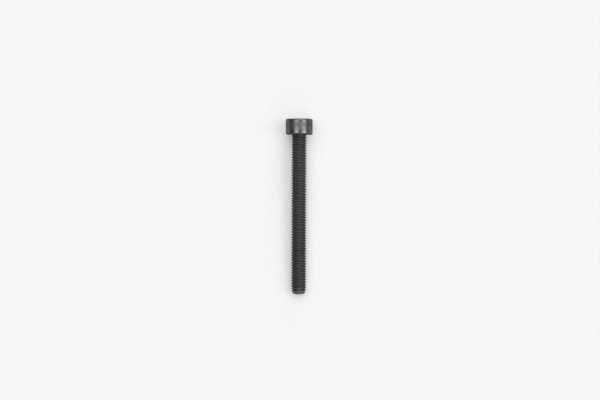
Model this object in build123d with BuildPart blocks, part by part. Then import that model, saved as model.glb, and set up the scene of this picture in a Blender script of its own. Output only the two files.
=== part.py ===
from build123d import *
import os
from math import atan2, cos, degrees, sin

# Hexagon socket head cap screw, M5 x 0.8, nominal length 50 mm, threaded
# along the whole shank. All sizes are in millimetres.

# --- head ---
head_diameter = 8.44  # standard range for a plain M5 head: 8.28 to 8.50
head_height = 4.94  # standard range: 4.82 to 5.00
head_top_round = 0.50  # rounded outer edge of the top face
head_under_edge_height = 0.40  # broken edge round the bearing face, along the axis
head_under_edge_width = 0.22  # and across; leaves a bearing face 8.0 across
under_head_fillet = 0.30  # between the bearing face and the neck

# --- hexagon socket ---
socket_across_flats = 4.04  # takes a 4 mm hexagon key
socket_depth = 2.52  # to the foot of the flats
socket_cone_depth = 0.40  # shallow conical floor left by the punch
socket_cone_radius = 1.98
socket_mouth_diameter = 4.76  # 45 degree lead-in for the key

# --- shank ---
length = 49.54  # under the head, nominal 50 +/- 0.5
thread_diameter = 4.84  # major diameter over the crests of the M5 thread
neck_diameter = 4.38  # unthreaded neck, the size of the blank before rolling
neck_length = 0.50
tip_length = 1.50  # tapered lead at the end
tip_diameter = 3.54  # flat end face

# --- how it lies ---
# The screw rests on a flat surface at z = 0 on two points: the lower edge of
# the head and the last full turn of the thread. The axis therefore slopes,
# with the head end higher. The head is towards -Y and the tip towards +Y.
head_radius = head_diameter / 2
thread_radius = thread_diameter / 2
tip_radius = tip_diameter / 2
neck_radius = neck_diameter / 2
tip_start = length - tip_length
slope = atan2(head_radius - thread_radius, tip_start + head_under_edge_height)

# height of the axis at the bearing face, and the offset along Y that centres
# the overall length on the origin
seat_z = head_radius * cos(slope) - head_under_edge_height * sin(slope)
y_low = (
    -(head_height - head_top_round) * cos(slope)
    - (head_radius - head_top_round) * sin(slope)
    - head_top_round
)
y_high = length * cos(slope) + tip_radius * sin(slope)
seat_y = -(y_low + y_high) / 2

seat = Vector(0, seat_y, seat_z)  # centre of the bearing face
to_tip = Vector(0, cos(slope), -sin(slope))  # along the axis, head to tip
screw_axis = Axis(seat, to_tip)

# half-section plane: local x is the radius, local y runs towards the tip
section = Plane(origin=seat, x_dir=(1, 0, 0), z_dir=(0, sin(slope), cos(slope)))
# top face of the head, with its normal pointing into the head
head_top = Plane(origin=seat - to_tip * head_height, x_dir=(1, 0, 0), z_dir=to_tip)

with BuildPart() as cap_screw:
    # turned form: head, neck, shank over the crests, tapered lead, flat end
    with BuildSketch(section):
        with BuildLine():
            Polyline(
                (0, -head_height),
                (head_radius, -head_height),
                (head_radius, -head_under_edge_height),
                (head_radius - head_under_edge_width, 0),
                (neck_radius, 0),
                (neck_radius, neck_length),
                (thread_radius, neck_length + thread_radius - neck_radius),
                (thread_radius, tip_start),
                (tip_radius, length),
                (0, length),
                close=True,
            )
        make_face()
    revolve(axis=screw_axis)

    # round the head's top edge and fill the corner under the head
    rims = cap_screw.edges().filter_by(GeomType.CIRCLE).sort_by(screw_axis)
    fillet(rims[0], head_top_round)
    at_seat = (
        cap_screw.edges()
        .filter_by(GeomType.CIRCLE)
        .filter_by(lambda e: abs((e.arc_center - seat).dot(to_tip)) < 0.01)
        .sort_by(SortBy.RADIUS)
    )
    fillet(at_seat[0], under_head_fillet)

    # hexagon socket: flats, shallow conical floor, lead-in at the mouth
    with BuildSketch(head_top):
        RegularPolygon(socket_across_flats / 2, 6, major_radius=False)
    extrude(amount=socket_depth, mode=Mode.SUBTRACT)
    floor_y = -head_height + socket_depth
    with BuildSketch(section):
        with BuildLine():
            Polyline(
                (0, floor_y - 0.5),
                (socket_cone_radius, floor_y - 0.5),
                (socket_cone_radius, floor_y),
                (0, floor_y + socket_cone_depth),
                close=True,
            )
        make_face()
    revolve(axis=screw_axis, mode=Mode.SUBTRACT)
    mouth_radius = socket_mouth_diameter / 2
    with BuildSketch(section):
        with BuildLine():
            Polyline(
                (0, -head_height),
                (mouth_radius, -head_height),
                (0, -head_height + mouth_radius),
                close=True,
            )
        make_face()
    revolve(axis=screw_axis, mode=Mode.SUBTRACT)

cap_screw.part.label = "cap_screw"

print("slope of the axis, degrees:", round(degrees(slope), 4))
print("centre of the bearing face:", [round(v, 5) for v in seat])
print("direction to the tip:", [round(v, 7) for v in to_tip])
box = cap_screw.part.bounding_box()
print("box:", box.min, box.max)

os.makedirs("parts", exist_ok=True)
export_step(cap_screw.part, "parts/cap_screw.step")
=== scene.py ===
import math

import bpy
import numpy as np
from mathutils import Matrix, Vector


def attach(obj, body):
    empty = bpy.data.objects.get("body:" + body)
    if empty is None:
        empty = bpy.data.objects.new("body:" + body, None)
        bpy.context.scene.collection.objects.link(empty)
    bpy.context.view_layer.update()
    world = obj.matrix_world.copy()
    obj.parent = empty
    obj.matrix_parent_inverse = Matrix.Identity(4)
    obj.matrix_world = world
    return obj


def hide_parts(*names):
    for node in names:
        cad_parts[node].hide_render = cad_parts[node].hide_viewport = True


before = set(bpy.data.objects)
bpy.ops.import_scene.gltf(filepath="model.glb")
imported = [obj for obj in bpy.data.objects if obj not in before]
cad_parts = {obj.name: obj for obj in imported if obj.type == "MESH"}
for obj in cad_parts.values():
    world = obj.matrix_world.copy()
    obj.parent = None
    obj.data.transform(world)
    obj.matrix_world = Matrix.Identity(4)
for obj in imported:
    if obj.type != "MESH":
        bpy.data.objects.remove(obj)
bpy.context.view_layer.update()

MM = 0.001

# ---------------------------------------------------------------- sizes, mm
# The CAD solid's sizes, repeated here.
HEAD_R, HEAD_H = 4.22, 4.94
TOP_ROUND, FILLET = 0.50, 0.30
UNDER_H, UNDER_W = 0.40, 0.22  # the break round the bearing face, along the axis and across
FLATS, SOCKET_D, CONE_D, CONE_R, MOUTH_R = 4.04, 2.52, 0.40, 1.98, 2.38
LENGTH, CREST_R, NECK_R, TIP_L, TIP_R = 49.54, 2.42, 2.19, 1.50, 1.77

# M5 thread form
PITCH = 0.8
THREAD_PHASE = 0.625  # where a crest passes the +X side, mm under the head
CREST_HALF = 0.065  # half the flat on a crest, at the crest radius
ROOT_ROUND = 0.115
ROOT_R = CREST_R - math.sqrt(3) * (PITCH / 2 - CREST_HALF) + ROOT_ROUND
THREAD_FROM, THREAD_FULL = 0.36, 0.95  # run-out under the head
TURNS_COLUMNS = 120  # steps round the screw, a multiple of 6 for the socket

# the screw lies on the head's lower edge and the last full turn of thread
slope = math.atan2(HEAD_R - CREST_R, LENGTH - TIP_L + UNDER_H)
cs, sn = math.cos(slope), math.sin(slope)
y_low = -(HEAD_H - TOP_ROUND) * cs - (HEAD_R - TOP_ROUND) * sn - TOP_ROUND
y_high = LENGTH * cs + TIP_R * sn
seat = np.array([0.0, -(y_low + y_high) / 2, HEAD_R * cs - UNDER_H * sn])
to_tip = np.array([0.0, cs, -sn])
across = np.array([1.0, 0.0, 0.0])
upward = np.array([0.0, sn, cs])

N = TURNS_COLUMNS
phi = np.arange(N) * 2 * math.pi / N


def hex_radius(a):
    """Distance from the axis to the hexagon's side at angle a, with corners at 0, 60, 120 degrees and so on."""
    b = np.mod(a, math.pi / 3) - math.pi / 6
    return FLATS / 2 / np.cos(b)


def smoothstep(a, b, x):
    u = np.clip((x - a) / (b - a), 0, 1)
    return u * u * (3 - 2 * u)


# ------------------------------------------------------------- the profile
# points of one thread turn, from one crest's middle to the next: offset
# along the axis and radius
def thread_points():
    corner = 0.090  # rolled crest corner
    cut = corner * math.tan(math.radians(30))
    a = CREST_HALF - cut
    b = a + corner * math.sin(math.radians(60))
    c = PITCH / 2 - ROOT_ROUND * math.sin(math.radians(60))
    d = PITCH / 2 - ROOT_ROUND * math.sin(math.radians(30))
    xs = [a, b, c, d, PITCH / 2]
    rs = [
        CREST_R,
        CREST_R - corner * (1 - math.cos(math.radians(60))),
        ROOT_R + ROOT_ROUND * (1 - math.cos(math.radians(60))),
        ROOT_R + ROOT_ROUND * (1 - math.cos(math.radians(30))),
        ROOT_R,
    ]
    left = [(PITCH - x, r) for x, r in zip(xs[:4], rs[:4])][::-1]
    return list(zip(xs, rs)) + left


THREAD = thread_points()
M = len(THREAD)
_tx = np.array([-THREAD[0][0]] + [p[0] for p in THREAD] + [PITCH + THREAD[0][0]])
_tr = np.array([CREST_R] + [p[1] for p in THREAD] + [CREST_R])


def thread_radius(t, a):
    """Radius of the screw at t mm under the head and angle a: a right-hand thread that fades in from the neck and is cut by the tapered lead."""
    x = np.mod(t + PITCH * a / (2 * math.pi) - THREAD_PHASE, PITCH)
    r = np.interp(x, _tx, _tr)
    w = smoothstep(THREAD_FROM, THREAD_FULL, t)
    r = NECK_R + w * (r - NECK_R)
    cone = TIP_R + (LENGTH - t) * (CREST_R - TIP_R) / TIP_L
    # a soft minimum, so that the lead blends into the thread
    k = 0.03
    h = np.clip(0.5 + 0.5 * (cone - r) / k, 0, 1)
    return cone * (1 - h) + r * h - k * h * (1 - h)


# ---------------------------------------------------------------- the mesh
verts, wear, shade = [], [], []
faces = []


def place(r, t, a):
    p = (
        seat[None, :]
        + np.cos(a)[:, None] * r[:, None] * across
        + np.sin(a)[:, None] * r[:, None] * upward
        + t[:, None] * to_tip
    )
    return p * MM


def add_ring(r, t, w=0.0, s=0.0):
    """One closed row of N points; r and t are numbers or one value for each column. w is how worn it is, 0 to 1, and s
    how dull, from -1 for polished to 1 for dull; above 1 it takes the colour almost to black, oil residue and painted
    shade, darkest at 2 in a corner.
    """
    r = np.broadcast_to(np.asarray(r, float), (N,))
    t = np.broadcast_to(np.asarray(t, float), (N,))
    start = len(verts)
    verts.extend(place(r, t, phi))
    wear.extend([w] * N)
    shade.extend([s] * N)
    return np.arange(start, start + N)


def join(a, b):
    n = np.roll(np.arange(N), -1)
    for j in range(N):
        faces.append((a[j], a[n[j]], b[n[j]], b[j]))


def cap(centre_t, ring, s=0.0, flip=False):
    start = len(verts)
    verts.extend(place(np.zeros(1), np.array([centre_t], float), np.zeros(1)))
    wear.append(0.0)
    shade.append(s)
    for j in range(N):
        k = (j + 1) % N
        faces.append((start, ring[k], ring[j]) if flip else (start, ring[j], ring[k]))


def chain(rows):
    for a, b in zip(rows, rows[1:]):
        join(a, b)


hexr = hex_radius(phi)
top = -HEAD_H

# socket floor, walls and mouth, then over the head to the neck
rows = []
floor_t = top + SOCKET_D
cone_at = lambda r: floor_t + CONE_D * (1 - r / CONE_R)
# the socket's floor and the foot of its walls get shade values above 1, darkest in the floor's corner and fading up the
# walls: oil residue and painted shade in the recess
for r, s in ((0.35, 1.2), (0.75, 1.2), (1.15, 1.3), (1.5, 1.45), (1.8, 1.65), (CONE_R, 1.8)):
    rows.append(add_ring(r, cone_at(r), 0.0, s))
rows.append(add_ring(hexr - 0.03, floor_t, 0.0, 1.9))
rows.append(add_ring(hexr, floor_t - 0.03, 0.0, 1.8))
mouth_t = top + MOUTH_R - hexr  # where the flats meet the 45 degree lead-in
for f, s in ((0.12, 1.5), (0.3, 1.1), (0.6, 0.6), (0.85, 0.3)):
    rows.append(add_ring(hexr, (floor_t - 0.03) * (1 - f) + mouth_t * f, 0.05, s))
rows.append(add_ring(hexr, mouth_t + 0.03, 0.25))
edge = np.minimum(0.02, (MOUTH_R - hexr) / 3)
rows.append(add_ring(hexr + edge, mouth_t - edge, 0.45))
rows.append(add_ring(MOUTH_R - 0.015, top + 0.02, 0.35))
rows.append(add_ring(MOUTH_R + 0.03, top, 0.35))
for r in (2.6, 2.9, 3.2, 3.5):
    rows.append(add_ring(r, top, 0.0))
for k in range(0, 9):
    a = math.radians(90 * k / 8)
    rows.append(
        add_ring(
            HEAD_R - TOP_ROUND + TOP_ROUND * math.sin(a),
            top + TOP_ROUND * (1 - math.cos(a)),
            0.15 * math.sin(2 * a),
            0.6 * math.sin(2 * a),
        )
    )
# the side: a polished band near the lower edge, a duller one higher up
side_from, side_to = top + TOP_ROUND, -UNDER_H - 0.04
for f in np.linspace(0, 1, 19)[1:]:
    t = side_from * (1 - f) + side_to * f
    polish = math.exp(-(((t + 0.75) / 0.45) ** 2)) + 0.4 * math.exp(-(((t + 4.2) / 0.25) ** 2))
    dull = 0.7 * math.exp(-(((t + 3.15) / 0.38) ** 2))
    rows.append(add_ring(HEAD_R, t, 0.12 * polish, dull - 0.9 * polish))
# the head's lower edge, slightly rounded where it meets the break below it
# from the break to the neck the shade values rise to 2: oil residue and painted shade darkening the corner under the
# head
for inward, t, s in (
    (0.005, -UNDER_H, 0.5),
    (0.019, 0.035 - UNDER_H, 1.05),
    (UNDER_W - 0.019, -0.035, 1.7),
    (UNDER_W, -0.006, 1.7),
    (UNDER_W + 0.04, 0.0, 1.5),
):
    rows.append(add_ring(HEAD_R - inward, t, 0.0, s))
for r, s in ((3.6, 1.4), (3.1, 1.6), (2.7, 1.9)):
    rows.append(add_ring(r, 0.0, 0.0, s))
for k in range(0, 6):
    a = math.radians(90 * k / 5)
    rows.append(add_ring(NECK_R + FILLET * (1 - math.sin(a)), FILLET * (1 - math.cos(a)), 0.0, 2.0))
# the floor's centre, with a little oil residue and painted shade
cap(floor_t + CONE_D - 0.02, rows[0], 1.2, flip=True)
chain(rows)

# the thread: rows follow the helix, one pitch lower at the end of each turn,
# held at the two end rings
t_a, t_b = FILLET + 0.06, LENGTH - 0.14
# the neck ring is darkened with oil residue and painted shade from the corner under the head
ring_a = add_ring(NECK_R, t_a, 0.0, 1.5)
join(rows[-1], ring_a)
ring_b = add_ring(thread_radius(np.full(N, t_b), phi), t_b, 0.7)

offs = np.array([p[0] for p in THREAD])
k0 = math.floor((t_a - THREAD_PHASE) / PITCH) - 1
k1 = math.ceil((t_b - THREAD_PHASE) / PITCH) + 2
s = np.concatenate([THREAD_PHASE + k * PITCH + offs for k in range(k0, k1)])
crest_mark = np.tile(np.array([1, 0.7, 0, 0, 0, 0, 0, 0.7, 1], float), k1 - k0)
index = np.empty((len(s), N), int)
crest = {}  # the thread's crests, by vertex
for i, si in enumerate(s):
    t = si - PITCH * phi / (2 * math.pi)
    low, high = t <= t_a + 0.004, t >= t_b - 0.004
    mid = ~(low | high)
    index[i, low] = ring_a[low]
    index[i, high] = ring_b[high]
    if mid.any():
        start = len(verts)
        r = thread_radius(t[mid], phi[mid])
        verts.extend(place(r, t[mid], phi[mid]))
        full = thread_radius(t[mid], phi[mid]) > CREST_R - 0.05
        # oil residue and painted shade from the corner under the head, fading out just past the neck
        residue_and_shade_under_head = 2.2 * np.exp(-((t[mid] / 0.42) ** 2))
        lead = smoothstep(LENGTH - TIP_L - 1.0, LENGTH - 1.0, t[mid])
        rubbed = 1.4 - 0.9 * smoothstep(6, 36, t[mid])
        crest.update(zip(range(start, len(verts)), rubbed * crest_mark[i] * full * (1 - lead)))
        wear.extend(list(lead * 0.45))
        shade.extend(list(np.maximum(1.0, residue_and_shade_under_head) * (1 - lead)))
        index[i, mid] = np.arange(start, start + int(mid.sum()))
for i in range(M, len(s) - 1):
    for j in range(N):
        if j < N - 1:
            q = (index[i, j], index[i, j + 1], index[i + 1, j + 1], index[i + 1, j])
        else:
            q = (index[i, j], index[i - M, 0], index[i + 1 - M, 0], index[i + 1, j])
        u = []
        for v in q:
            if v not in u:
                u.append(int(v))
        if len(u) > 2:
            faces.append(tuple(u))

# the end: a small broken edge and a faintly dished face
rows = [ring_b]
rows.append(add_ring(TIP_R - 0.015, LENGTH - 0.045, 0.6))
rows.append(add_ring(TIP_R - 0.06, LENGTH, 0.4))
for r, d in ((1.35, 0.01), (1.0, 0.035), (0.65, 0.05), (0.3, 0.055)):
    rows.append(add_ring(r, LENGTH - d, 0.0, 0.2))
chain(rows)
cap(LENGTH - 0.056, rows[-1], 0.2)

verts = np.array(verts)
mesh = bpy.data.meshes.new("cap_screw_body")
mesh.from_pydata(verts.tolist(), [], [tuple(int(v) for v in f) for f in faces])
mesh.validate(clean_customdata=False)
mesh.update()


def signed_volume(me):
    me.calc_loop_triangles()
    tri = np.empty(len(me.loop_triangles) * 3, int)
    me.loop_triangles.foreach_get("vertices", tri)
    co = np.empty(len(me.vertices) * 3)
    me.vertices.foreach_get("co", co)
    p = co.reshape(-1, 3)[tri.reshape(-1, 3)]
    return float(np.einsum("ij,ij->i", p[:, 0], np.cross(p[:, 1], p[:, 2])).sum() / 6)


if signed_volume(mesh) < 0:
    mesh.flip_normals()


def face_weighted_normals(me, limit_deg):
    """A normal for each face corner: the area-weighted mean of the faces round its vertex that lean less than limit_deg from its own face. Wide faces keep their true direction and only the narrow ones beside them turn."""
    nl, nf = len(me.loops), len(me.polygons)
    lv = np.empty(nl, int)
    me.loops.foreach_get("vertex_index", lv)
    total = np.empty(nf, int)
    me.polygons.foreach_get("loop_total", total)
    lf = np.repeat(np.arange(nf), total)
    n = np.empty(nf * 3)
    me.polygons.foreach_get("normal", n)
    n = n.reshape(-1, 3)
    area = np.empty(nf)
    me.polygons.foreach_get("area", area)
    order = np.argsort(lv, kind="stable")
    sv = lv[order]
    first = np.searchsorted(sv, np.arange(len(me.vertices)))
    count = np.bincount(lv, minlength=len(me.vertices))
    out = np.zeros((nl, 3))
    cosine = math.cos(math.radians(limit_deg))
    for k in range(int(count.max())):
        has = count[lv] > k
        mine = np.nonzero(has)[0]
        other = order[first[lv[mine]] + k]
        fo, fm = lf[other], lf[mine]
        ok = np.einsum("ij,ij->i", n[fo], n[fm]) > cosine
        out[mine[ok]] += n[fo[ok]] * area[fo[ok], None]
    out /= np.maximum(np.linalg.norm(out, axis=1), 1e-30)[:, None]
    return out


for p in mesh.polygons:
    p.use_smooth = True
mesh.normals_split_custom_set(face_weighted_normals(mesh, 42).tolist())

crest = [crest.get(i, 0.0) for i in range(len(verts))]
for label, values in (("wear", wear), ("shade", shade), ("crest", crest)):
    mesh.attributes.new(label, "FLOAT", "POINT").data.foreach_set("value", np.array(values, np.float32))

screw = bpy.data.objects.new("cap_screw_body", mesh)
bpy.context.scene.collection.objects.link(screw)
print("volume mm3", round(signed_volume(mesh) * 1e9, 2), "triangles", len(mesh.loop_triangles))


# ------------------------------------------------------------- the material
def node(tree, kind, **inputs):
    n = tree.nodes.new(kind)
    for k, v in inputs.items():
        if k in n.inputs:
            n.inputs[k].default_value = v
        else:
            setattr(n, k, v)
    return n


def black_oxide(name):
    m = bpy.data.materials.new(name)
    m.use_nodes = True
    t = m.node_tree
    t.nodes.clear()
    out = t.nodes.new("ShaderNodeOutputMaterial")
    bsdf = t.nodes.new("ShaderNodeBsdfPrincipled")
    t.links.new(bsdf.outputs[0], out.inputs[0])
    coord = t.nodes.new("ShaderNodeTexCoord")
    mm = t.nodes.new("ShaderNodeMapping")
    mm.inputs["Scale"].default_value = (1000, 1000, 1000)
    t.links.new(coord.outputs["Object"], mm.inputs["Vector"])

    def noise(scale, detail, rough=0.55):
        n = t.nodes.new("ShaderNodeTexNoise")
        n.inputs["Scale"].default_value = scale
        n.inputs["Detail"].default_value = detail
        n.inputs["Roughness"].default_value = rough
        t.links.new(mm.outputs[0], n.inputs["Vector"])
        return n.outputs["Fac"]

    def span(src, a, b, c, d):
        n = t.nodes.new("ShaderNodeMapRange")
        n.inputs["From Min"].default_value = a
        n.inputs["From Max"].default_value = b
        n.inputs["To Min"].default_value = c
        n.inputs["To Max"].default_value = d
        t.links.new(src, n.inputs["Value"])
        return n.outputs["Result"]

    def mix(fac, a, b):
        n = t.nodes.new("ShaderNodeMix")
        n.data_type = "RGBA"
        if isinstance(fac, float):
            n.inputs[0].default_value = fac
        else:
            t.links.new(fac, n.inputs[0])
        for s, v in ((6, a), (7, b)):
            if isinstance(v, tuple):
                n.inputs[s].default_value = v
            else:
                t.links.new(v, n.inputs[s])
        return n.outputs[2]

    def math_node(op, a, b):
        n = t.nodes.new("ShaderNodeMath")
        n.operation = op
        for s, v in ((0, a), (1, b)):
            if isinstance(v, (int, float)):
                n.inputs[s].default_value = v
            else:
                t.links.new(v, n.inputs[s])
        return n.outputs[0]

    def attribute(label):
        n = t.nodes.new("ShaderNodeAttribute")
        n.attribute_name = label
        return n.outputs["Fac"]

    blotch = noise(0.9, 4.0)
    grain = noise(9.0, 5.0, 0.6)
    base = mix(span(blotch, 0.35, 0.65, 0.0, 1.0), (0.070, 0.070, 0.070, 1), (0.090, 0.090, 0.090, 1))
    patch = span(noise(2.6, 3.0), 0.42, 0.62, 0.15, 1.0)
    nicks = span(noise(1.6, 4.0, 0.6), 0.44, 0.64, 0.18, 0.9)
    worn = math_node("ADD", math_node("MULTIPLY", attribute("wear"), patch), math_node("MULTIPLY", attribute("crest"), nicks))
    dull = attribute("shade")
    base = mix(span(dull, 0.0, 1.0, 0.0, 1.0), base, (0.070, 0.070, 0.070, 1))
    # shade values above 1 take the colour almost to black and the metal away: oil residue and painted shade in the
    # socket and in the corner under the head
    dirt_and_painted_shade = span(dull, 1.0, 2.0, 0.0, 1.0)
    base = mix(dirt_and_painted_shade, base, (0.006, 0.006, 0.006, 1))
    colour = mix(math_node("MULTIPLY", worn, 0.25), base, (0.33, 0.33, 0.33, 1))
    t.links.new(colour, bsdf.inputs["Base Color"])
    t.links.new(math_node("SUBTRACT", 1.0, math_node("MULTIPLY", dirt_and_painted_shade, 0.9)), bsdf.inputs["Metallic"])
    bsdf.inputs["Specular Tint"].default_value = (0.5, 0.5, 0.5, 1)
    rough = math_node("ADD", span(grain, 0.3, 0.7, 0.33, 0.38), span(noise(1.3, 2.0), 0.35, 0.65, -0.03, 0.03))
    rough = math_node("SUBTRACT", rough, math_node("MULTIPLY", worn, 0.10))
    rough = math_node("ADD", rough, math_node("MULTIPLY", dull, 0.16))
    t.links.new(rough, bsdf.inputs["Roughness"])
    # rolling marks, drawn out round the thread
    drawn = t.nodes.new("ShaderNodeMapping")
    drawn.inputs["Rotation"].default_value = (slope, 0, 0)
    drawn.inputs["Scale"].default_value = (0.9, 22.0, 0.9)
    t.links.new(mm.outputs[0], drawn.inputs["Vector"])
    marks = t.nodes.new("ShaderNodeTexNoise")
    marks.inputs["Scale"].default_value = 1.0
    marks.inputs["Detail"].default_value = 3.0
    t.links.new(drawn.outputs[0], marks.inputs["Vector"])
    relief = math_node("ADD", grain, math_node("MULTIPLY", marks.outputs["Fac"], span(dull, 0.3, 1.0, 0.0, 1.2)))
    bump = t.nodes.new("ShaderNodeBump")
    bump.inputs["Strength"].default_value = 0.3
    bump.inputs["Distance"].default_value = 0.000012
    t.links.new(relief, bump.inputs["Height"])
    t.links.new(bump.outputs[0], bsdf.inputs["Normal"])
    return m


mesh.materials.append(black_oxide("black_oxide_steel"))
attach(screw, "root")
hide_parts("cap_screw")

# ---------------------------------------------------------------- the floor
floor_mesh = bpy.data.meshes.new("floor")
S = 3.0
floor_mesh.from_pydata([(-S, -S, 0), (S, -S, 0), (S, S, 0), (-S, S, 0)], [], [(0, 1, 2, 3)])
floor = bpy.data.objects.new("floor", floor_mesh)
bpy.context.scene.collection.objects.link(floor)
paper = bpy.data.materials.new("floor_paper")
paper.use_nodes = True
pb = paper.node_tree.nodes["Principled BSDF"]
pb.inputs["Base Color"].default_value = (0.83, 0.83, 0.83, 1)
pb.inputs["Roughness"].default_value = 0.9
pb.inputs["Specular IOR Level"].default_value = 0.2
floor_mesh.materials.append(paper)

# ---------------------------------------------------------------- the light
world = bpy.data.worlds.new("world")
bpy.context.scene.world = world
world.use_nodes = True
wt = world.node_tree
bg = wt.nodes["Background"]
bg.inputs[0].default_value = (1, 1, 1, 1)
bg.inputs[1].default_value = 0.3
# behind the floor's far edge the camera sees a pale backdrop, which gives no light
backdrop = wt.nodes.new("ShaderNodeBackground")
backdrop.inputs[0].default_value = (1, 1, 1, 1)
backdrop.inputs[1].default_value = 1.68
seen = wt.nodes.new("ShaderNodeLightPath")
blend = wt.nodes.new("ShaderNodeMixShader")
wt.links.new(seen.outputs["Is Camera Ray"], blend.inputs[0])
wt.links.new(bg.outputs[0], blend.inputs[1])
wt.links.new(backdrop.outputs[0], blend.inputs[2])
wt.links.new(blend.outputs[0], wt.nodes["World Output"].inputs[0])


def softbox(name, side_deg, lean_deg, width_deg, depth_deg, radiance):
    """A soft rectangular light over the screw. side_deg turns it towards -X and lean_deg towards +Y; width and depth are how wide it looks from the screw."""
    distance = 6.0
    light = bpy.data.lights.new(name, "AREA")
    light.shape = "RECTANGLE"
    light.size = 2 * distance * math.tan(math.radians(width_deg / 2))
    light.size_y = 2 * distance * math.tan(math.radians(depth_deg / 2))
    light.energy = radiance * light.size * light.size_y * math.pi
    o = bpy.data.objects.new(name, light)
    bpy.context.scene.collection.objects.link(o)
    a, b = math.radians(side_deg), math.radians(lean_deg)
    d = Vector((-math.sin(a) * math.cos(b), math.sin(b), math.cos(a) * math.cos(b)))
    o.location = d * distance
    o.rotation_mode = "QUATERNION"
    o.rotation_quaternion = d.to_track_quat("Z", "Y")
    o.visible_camera = False
    return o


# narrow panels along the screw's middle, wide ones towards its two ends
for row in (
    ("middle_right_low", 60, 0, 15.7, 1.8),
    ("middle_right", 45, 0, 15.7, 9.1),
    ("middle_right_high", 30, 0, 15.7, 3.7),
    ("middle_left_high", -15, 0, 15.7, 6.7),
    ("middle_left", -30, 0, 15.7, 4.5),
    ("head_top", 0, -22, 25.8, 7.9),
    ("head_top_low", 0, -45, 25.8, 1.8),
    ("head_right", 30, -22, 25.8, 5.5),
    ("head_left", -30, -22, 25.8, 4.0),
    ("head_right_low", 45, -68, 25.8, 6.7),
    ("tip_right", 30, 22, 25.8, 2.3),
    ("tip_top", 0, 22, 25.8, 2.3),
    ("tip_low", 0, 62, 25.8, 2.1),
    ("tip_right_low", 48, 42, 25.8, 2.6),
):
    softbox(*row[:4], 19.9, row[4])

# --------------------------------------------------------------- the camera
cam_data = bpy.data.cameras.new("camera")
cam = bpy.data.objects.new("camera", cam_data)
bpy.context.scene.collection.objects.link(cam)
bpy.context.scene.camera = cam
cam_data.sensor_width = 36.0
FOCAL_PX = 1374.0
cam_data.lens = FOCAL_PX * 36.0 / 600.0
cam_data.clip_start, cam_data.clip_end = 0.01, 10.0

NADIR = (18.0, 24.0)  # pixels right of and below the picture's middle
ROLL = math.radians(0.2517)
CAMERA_AT = (-0.005961, 0.005469, 0.430581)
# camera axes: straight down first, picture-up = -Y, picture-right = -X
right, up, back = Vector((-1, 0, 0)), Vector((0, -1, 0)), Vector((0, 0, 1))
base = Matrix((right, up, back)).transposed()
tilt_x = math.atan2(NADIR[1], FOCAL_PX)
tilt_y = math.atan2(NADIR[0], FOCAL_PX)
turn = Matrix.Rotation(ROLL, 3, "Z") @ Matrix.Rotation(tilt_y, 3, "Y") @ Matrix.Rotation(tilt_x, 3, "X")
cam.matrix_world = Matrix.Translation(CAMERA_AT) @ (base @ turn).to_4x4()

scene = bpy.context.scene
scene.view_settings.view_transform = "Standard"
scene.view_settings.look = "None"
scene.view_settings.exposure = 0.0
scene.view_settings.gamma = 1.0
# a soft shoulder for the pale floor: x / (1 + x / 2)
scene.view_settings.use_curve_mapping = True
tone = scene.view_settings.curve_mapping
tone.white_level = (2.0, 2.0, 2.0)
tone.extend = "HORIZONTAL"
curve = tone.curves[3]
for x in (0.04, 0.1, 0.18, 0.3, 0.45, 0.62, 0.8):
    curve.points.new(x, 2 * x / (1 + x))
tone.update()

# the denoiser's guides stay sharp, so that it keeps the fine thread
scene.cycles.denoising_prefilter = "NONE"
